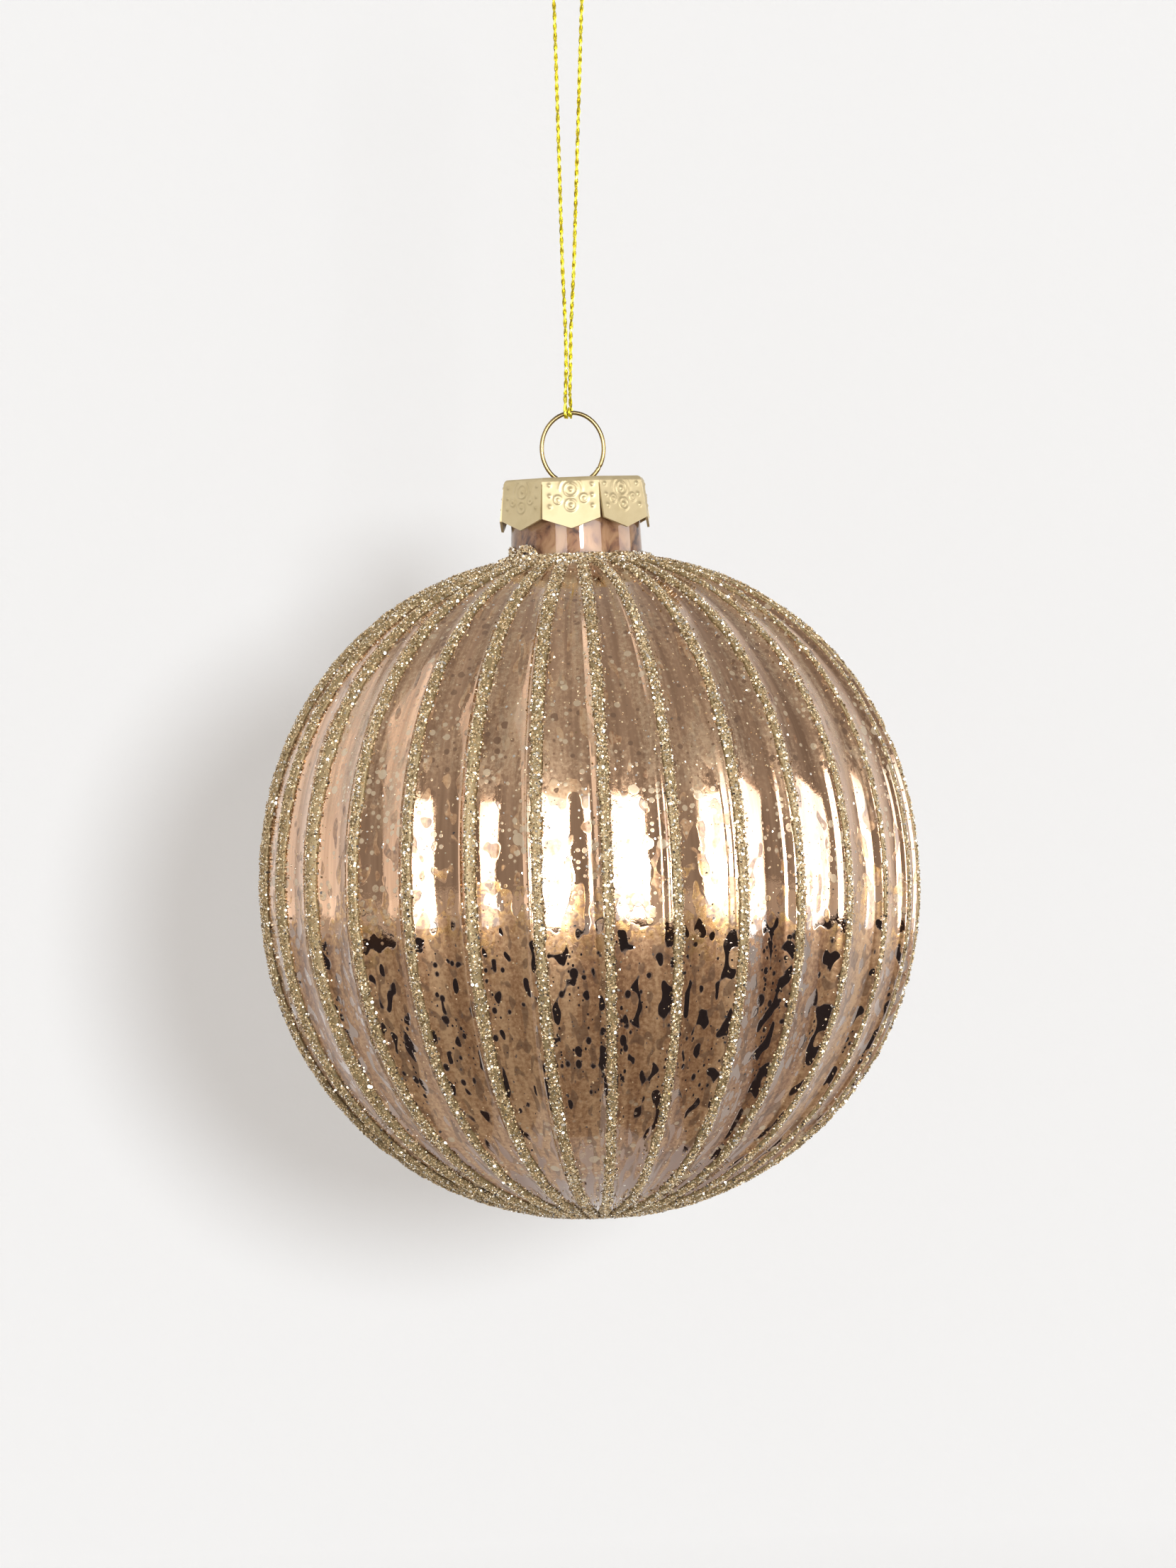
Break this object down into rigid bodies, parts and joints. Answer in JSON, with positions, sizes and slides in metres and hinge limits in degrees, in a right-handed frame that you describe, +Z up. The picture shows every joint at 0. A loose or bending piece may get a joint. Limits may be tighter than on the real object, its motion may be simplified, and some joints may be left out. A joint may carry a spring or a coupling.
{
  "type": "glass ball ornament",
  "caption": "Ribbed silvered-glass ball ornament with glitter along its ribs, a petalled brass cap, a wire ring hanger and a knotted loop of metallic cord to hang it by.",
  "frame": {"origin": "eye of the cord's loop, where the peg or twig that it hangs from touches it", "axes": "+Z up, along the ball's axis; +X to the right of the picture's view, along the hanger ring's plane; -Y to the viewer"},
  "size_m": [0.0998, 0.0998, 0.1968],
  "materials": {
    "silvered_glass": "blown glass, silvered and tinted copper brown inside, glossy and mottled",
    "glitter": "champagne gold flake glitter in clear glue",
    "cap_brass": "thin pale gold sheet, satin, stamped",
    "wire_brass": "antique brass wire, polished",
    "metallic_cord": "twisted gold metallic thread"
  },
  "bodies": {
    "cord": {"cord_strand_left": "metallic_cord", "cord_strand_right": "metallic_cord", "cord_knot": "metallic_cord"},
    "hitch": {"cord_hitch": "metallic_cord"},
    "hanger": {"crown_cap": "cap_brass", "hanger_wire": "wire_brass"},
    "ball": {"glass_ball": "silvered_glass", "glitter_line_01": "glitter", "glitter_line_02": "glitter", "glitter_line_03": "glitter", "glitter_line_04": "glitter", "glitter_line_05": "glitter", "glitter_line_06": "glitter", "glitter_line_07": "glitter", "glitter_line_08": "glitter", "glitter_line_09": "glitter", "glitter_line_10": "glitter", "glitter_line_11": "glitter", "glitter_line_12": "glitter", "glitter_line_13": "glitter", "glitter_line_14": "glitter", "glitter_line_15": "glitter", "glitter_line_16": "glitter", "glitter_line_17": "glitter", "glitter_line_18": "glitter", "glitter_line_19": "glitter", "glitter_line_20": "glitter", "glitter_line_21": "glitter", "glitter_line_22": "glitter", "glitter_line_23": "glitter", "glitter_line_24": "glitter", "glitter_line_25": "glitter", "glitter_line_26": "glitter", "glitter_line_27": "glitter", "glitter_line_28": "glitter", "glitter_line_29": "glitter", "glitter_line_30": "glitter", "glitter_collar": "glitter", "glitter_base": "glitter"}
  },
  "joints": [
    {"name": "cord_twist", "type": "hinge", "parent": "cord", "child": "hitch", "pos_m": [-0.00249, 0, -0.069], "axis": [0, 0, 1], "range_deg": [-180, 180], "stiffness_Nm_per_rad": 0.0002},
    {"name": "ring_swing", "type": "hinge", "parent": "hitch", "child": "hanger", "pos_m": [-0.00249, 0, -0.069], "axis": [0.9934, 0, 0.1143], "range_deg": [-80, 80]},
    {"name": "ball_pull", "type": "slide", "parent": "hanger", "child": "ball", "axis": [0, 0, -1], "range_m": [0, 0.026]}
  ]
}
